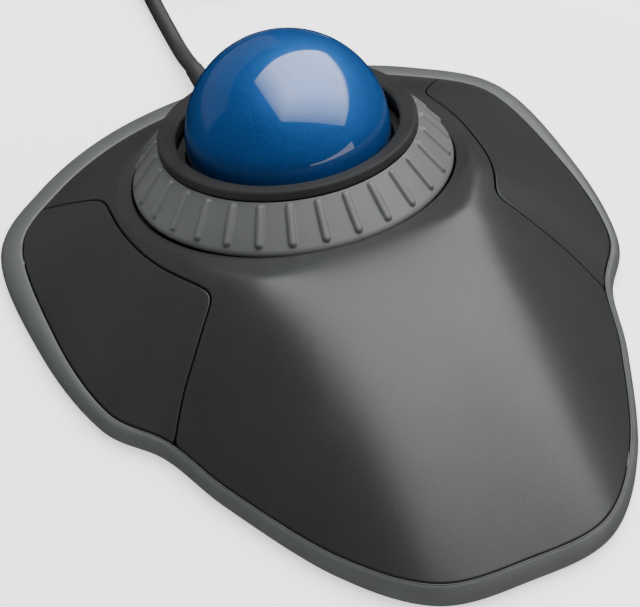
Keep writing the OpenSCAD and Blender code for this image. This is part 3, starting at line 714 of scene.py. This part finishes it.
def shell(name, loops, thick, low, lean=None, creases=()):
    """Closed shell with the housing's top surface inside some outlines, and rounded upper edges.

    The first outline runs anticlockwise and the others clockwise, so that the material is on the left.
    lean gives, for each outline, the direction in which its wall goes down. creases are closed lines that the
    mesh follows."""
    edge_r, edge_angles = 0.26, np.radians([22.5, 45, 67.5, 90])
    lean = lean or [np.array([0, 0, -1.0])] * len(loops)
    found, triangles, numbers = fill([loop + loop_inward(loop) * edge_r for loop in loops], list(creases))
    count = len(found)
    top = np.column_stack([found, surface(found[:, 0], found[:, 1])])
    normals_top = surface_normals(found[:, 0], found[:, 1])
    under = top.copy()
    under[:, 2] = np.maximum(top[:, 2] - thick, low)
    points, normals = [top, under], [normals_top, -normals_top]
    faces = [tuple(t) for t in triangles] + [(t[0] + count, t[2] + count, t[1] + count) for t in triangles]
    total = 2 * count
    for loop, down, upper in zip(loops, lean, numbers):
        n = len(loop)
        out = -loop_inward(loop)
        rings = [upper]
        for angle in edge_angles:
            flat = loop - out * edge_r * (1 - math.sin(angle))
            z = surface(flat[:, 0], flat[:, 1]) - edge_r * (1 - math.cos(angle))
            up = surface_normals(flat[:, 0], flat[:, 1])
            side = np.column_stack([out, np.zeros(n)])
            points.append(np.column_stack([flat, z]))
            normals.append(unit_rows(up * math.cos(angle) + side * math.sin(angle)))
            rings.append(total + np.arange(n))
            total += n
        foot = points[-1] + down * (thick - edge_r)
        foot[:, 2] = np.maximum(foot[:, 2], low)
        points.append(foot)
        normals.append(normals[-1])
        rings += [total + np.arange(n), upper + count]
        total += n
        for a, b in zip(rings, rings[1:]):
            faces += [(a[i], b[i], b[(i + 1) % n], a[(i + 1) % n]) for i in range(n)]
    return add_mesh(name, np.vstack(points), faces, np.vstack(normals))


def eased_profile(corners, reaches):
    """A closed profile whose corners are replaced by bends, each at most 0.45 of its shorter side."""
    steps, most = 5, 0.45
    p = np.array(corners, float)
    out = []
    for a, b, c, reach in zip(np.roll(p, 1, 0), p, np.roll(p, -1, 0), reaches):
        limit = most * min(np.linalg.norm(a - b), np.linalg.norm(c - b))
        out.append(bend(a, b, c, min(reach, limit), steps))
    return np.vstack(out)


def split_long(profile, longest):
    """Adds points to a closed profile so that no side is longer than a limit."""
    out = []
    for a, b in zip(profile, np.roll(profile, -1, 0)):
        n = max(1, math.ceil(np.linalg.norm(b - a) / longest))
        out += [a + (b - a) * k / n for k in range(n)]
    return np.array(out)


def lathe(name, profile, count, lift=None):
    """Ring about the ring's axis from a closed profile of radius and height. lift moves points along it."""
    angle = np.linspace(0, 2 * math.pi, count, endpoint=False)[:, None]
    r = np.broadcast_to(profile[:, 0], (count, len(profile))).copy()
    h = np.broadcast_to(profile[:, 1], (count, len(profile))).copy()
    if lift is not None:
        dr, dh = lift(r, h, np.broadcast_to(angle, r.shape))
        r, h = r + dr, h + dh
    points = (BALL + (r * np.cos(angle))[..., None] * np.array([1, 0, 0])
              + (r * np.sin(angle))[..., None] * ACROSS + h[..., None] * AXIS)
    return add_mesh(name, points.reshape(-1, 3), skin_faces(count, len(profile), closed=True))


# ---------- pieces ----------

def make_band(materials):
    """Side band: one loop of profile round the rim, rounded outside and crisp inside."""
    just_inside, bulge = 0.02, 1.1
    width = band_width(RIM[:, 1])
    top = rim_height(RIM[:, 1])

    def at(inset, z):
        return np.column_stack([RIM + RIM_INWARD * np.broadcast_to(inset, width.shape)[:, None],
                                np.broadcast_to(z, width.shape)])

    rings = [at(1.3, BASE_Z), at(0.9, BASE_Z), at(0.35, BASE_Z + 0.25), at(0.06, BASE_TOP - 0.35)]
    for angle in np.radians(np.arange(0, 90, 7.5)):
        share = 1 - math.cos(angle) ** (1 / bulge)
        rings.append(at(just_inside + (width - just_inside) * share,
                        BASE_TOP + (top - BASE_TOP) * math.sin(angle)))
    for back, down in ((0.3, 0), (0.12, 0.03), (0.03, 0.1), (0, 0.22), (0, 1.2)):
        rings.append(at(width - back, top - down))
    rings.append(at(width, BASE_Z))
    n, m = len(RIM), len(rings)
    faces = [(j * n + i, (j + 1) % m * n + i, (j + 1) % m * n + (i + 1) % n, j * n + (i + 1) % n)
             for j in range(m) for i in range(n)]
    band = add_mesh("band", np.vstack(rings), faces)
    fit_out(band, "housing", "band_plastic", materials, "side_band")


def make_shells(materials):
    """Top cover and the two buttons, each a shell that ends above the base plate."""
    cover_low, button_low = BASE_TOP + 0.6, BASE_TOP + 1.1
    cover = shell("cover", [cover_outline(), opening_outline()], COVER_T, cover_low,
                  lean=[np.array([0, 0, -1.0]), -AXIS],
                  creases=[opening_outline(-0.15), opening_outline(0.1)])
    fit_out(cover, "housing", "cover_plastic", materials, "top_cover")
    right = shell("button_right", [button_outline()], BUTTON_T, button_low)
    fit_out(right, "right_button", "cover_plastic", materials, "right_button")
    left = shell("button_left", [mirror_line(button_outline())], BUTTON_T, button_low)
    fit_out(left, "left_button", "cover_plastic", materials, "left_button")


def make_ring(materials):
    """Scroll ring: a cone with raised finger ridges that melt into it."""
    top, low = np.array([25.4, -0.35]), np.array([RING_R - 0.25, H_SEAT + 0.3])
    along = (low - top) / np.linalg.norm(low - top)
    out = np.array([-along[1], along[0]])
    corners = [(25.1, -2.4), (25.1, -0.6), top, low,
               (RING_R, H_SEAT - 0.2), (RING_R, -8.55), (27.45, -8.55), (27.45, -4.6)]
    reaches = [0.1, 0.25, 0.35, 0.4, 0.3, 0.15, 0.1, 0.1]
    profile = split_long(eased_profile(corners, reaches), longest=0.22)
    pitch = 2 * math.pi / RIDGES
    ridge_start, ridge_end = 1.2, 7.9
    ridge_half, ridge_high = 0.78, 0.62
    foot_start, foot_end, foot_high = 0.6, 1.15, 0.06
    skin = 0.12
    steps_per_ridge = 40

    def lift(r, h, angle):
        """Offsets that raise the ridges from points on the cone's face."""
        down = (r - top[0]) * along[0] + (h - top[1]) * along[1]
        off = np.abs((r - top[0]) * out[0] + (h - top[1]) * out[1])
        across = r * (np.mod(angle, pitch) - pitch / 2)
        beyond = np.maximum(0, np.maximum(ridge_start - down, down - ridge_end))
        gap = np.hypot(across, beyond)
        height = np.sqrt(np.clip(1 - (gap / ridge_half) ** 2, 0, 1)) * ridge_high
        height = height + foot_high * (1 - ramp(foot_start, foot_end, gap))
        height = np.where(off < skin, height, 0)
        return height * out[0], height * out[1]

    ring = lathe("scroll_ring_skin", profile, RIDGES * steps_per_ridge, lift)
    fit_out(ring, "ring", "ring_plastic", materials, "scroll_ring")


def make_collar(materials):
    """Collar round the ball: a wide band that leans in towards the ball, above a short upright wall."""
    corners = [(21.95, -1.3), (21.75, 1.0), (22.3, 1.4), (24.9, 1.85), (25.35, 1.5), (25.35, -0.1),
               (24.75, -0.1), (24.75, -3.5), (24.2, -3.5), (24.2, -5), (22.6, -5), (22.6, -2.6)]
    reaches = [0.2, 0.4, 0.3, 0.3, 0.3, 0.1, 0.1, 0.1, 0.1, 0.1, 0.1, 0.1]
    collar = lathe("collar", eased_profile(corners, reaches), count=300)
    fit_out(collar, "housing", "gloss_black", materials, "ball_collar")


def make_ball(materials):
    """Ball of rows and columns of quads, closed by a fan of triangles at each pole."""
    rows, n = 128, 256
    polar = np.linspace(0, math.pi, rows + 1)[1:-1]
    around = np.linspace(0, 2 * math.pi, n, endpoint=False)
    directions = [(math.sin(p) * math.cos(a), math.sin(p) * math.sin(a), math.cos(p))
                  for p in polar for a in around]
    points = BALL + BALL_R * np.array([(0, 0, 1), *directions, (0, 0, -1)])
    last = len(points) - 1
    faces = [(0, 1 + i, 1 + (i + 1) % n) for i in range(n)]
    for j in range(rows - 2):
        a, b = 1 + j * n, 1 + (j + 1) * n
        faces += [(a + i, b + i, b + (i + 1) % n, a + (i + 1) % n) for i in range(n)]
    tail = 1 + (rows - 2) * n
    faces += [(tail + i, last, tail + (i + 1) % n) for i in range(n)]
    fit_out(add_mesh("pearl_ball", points, faces), "ball", "ball_blue", materials, "ball")


def dress_cad_nodes(materials):
    """Carried-over CAD nodes get the material of their slot."""
    for part in frame["record"]["subparts"]:
        node = frame["nodes"][part["node"]]
        for slot in node.material_slots:
            slot.material = materials[part["material_slot"]]


# ---------- room and light ----------

def make_floor():
    """A wide pale floor just under the desk plane, which sends no reflections back."""
    n = Nodes("floor_paint")
    speck = n.noise(40, 2)
    material = n.put(Base_Color=n.blend(speck, grey(0.86), grey(0.88)), Roughness=0.6,
                     Emission_Color=(1, 1, 1, 1), Emission_Strength=1.1)
    reach, sunk = 4000, 0.02
    corners = [(-reach, -reach, 0), (reach, -reach, 0), (reach, reach, 0), (-reach, reach, 0)]
    piece = add_mesh("floor", corners, [(0, 1, 2, 3)])
    piece.location.z = -sunk * MM
    piece.data.materials.append(material)
    piece.visible_glossy = False


def area_lamp(name, direction, distance, width, height, power, facing=None, colour=(1, 1, 1)):
    """Lamp seen from the ball in the given direction. It faces the ball, or along facing."""
    direction = Vector(direction).normalized()
    data = bpy.data.lights.new(name, "AREA")
    data.shape = "RECTANGLE"
    data.size, data.size_y = width, height
    data.energy = power
    data.color = colour
    lamp = bpy.data.objects.new(name, data)
    lamp.location = Vector(BALL * MM) + direction * distance
    back = Vector(facing).normalized() if facing else direction
    lamp.rotation_mode = "QUATERNION"
    lamp.rotation_quaternion = back.to_track_quat("Z", "Y")
    lamp.visible_camera = False
    bpy.context.scene.collection.objects.link(lamp)


# The soft box's middle in metres from the ball's, and its directions
SOFTBOX_CENTRE = Vector((0.1105, -0.033, 0.589))
SOFTBOX_FACING = Vector((0.5, 0, 0.866))
SOFTBOX_ACROSS = Vector((0.866, 0, -0.5))


def softbox_panel(name, across, along, width, height, power, nearer):
    """One glowing panel of the soft box overhead, placed from the box's middle.

    Panels add up where they lap, as long as they are a few millimetres apart."""
    place = SOFTBOX_CENTRE + SOFTBOX_ACROSS * across + Vector((0, along, 0)) - SOFTBOX_FACING * nearer
    area_lamp(name, place, place.length, width, height, power, facing=SOFTBOX_FACING)


def make_lights():
    """Soft box overhead that is brightest towards one corner, a warm card low in front and a fill behind."""
    panels, gap = 10, 0.004
    width, depth = 1.06, 1.2
    base_power, added_power, fade = 5.6, 14.5, 0.45
    softbox_panel("softbox", 0, 0, width, depth, base_power, -gap * panels / 2)
    for k in range(1, panels + 1):
        share = k / panels
        softbox_panel(f"softbox_{k}", 0.24 * share, 0.29 * share, width - 0.6 * share, depth - 0.68 * share,
                      added_power / panels * (1 - fade * share), gap * (k - panels / 2))
    area_lamp("card", (0.38, -0.9, -0.05), 0.55, 0.52, 0.12, 0.32, colour=(1, 0.88, 0.76))
    area_lamp("rear_fill", (-0.35, 0.93, 0.22), 0.8, 1.3, 0.6, 0.36)
    world = bpy.data.worlds.new("world")
    world.use_nodes = True
    shade = world.node_tree.nodes["Background"]
    shade.inputs["Color"].default_value = (0.9, 1, 0.98, 1)
    shade.inputs["Strength"].default_value = 0.3
    world.cycles_visibility.glossy = False
    bpy.context.scene.world = world


make_camera()
looks = make_materials()
make_cord(looks)
dress_cad_nodes(looks)
make_band(looks)
make_shells(looks)
make_ring(looks)
make_collar(looks)
make_ball(looks)
make_floor()
make_lights()
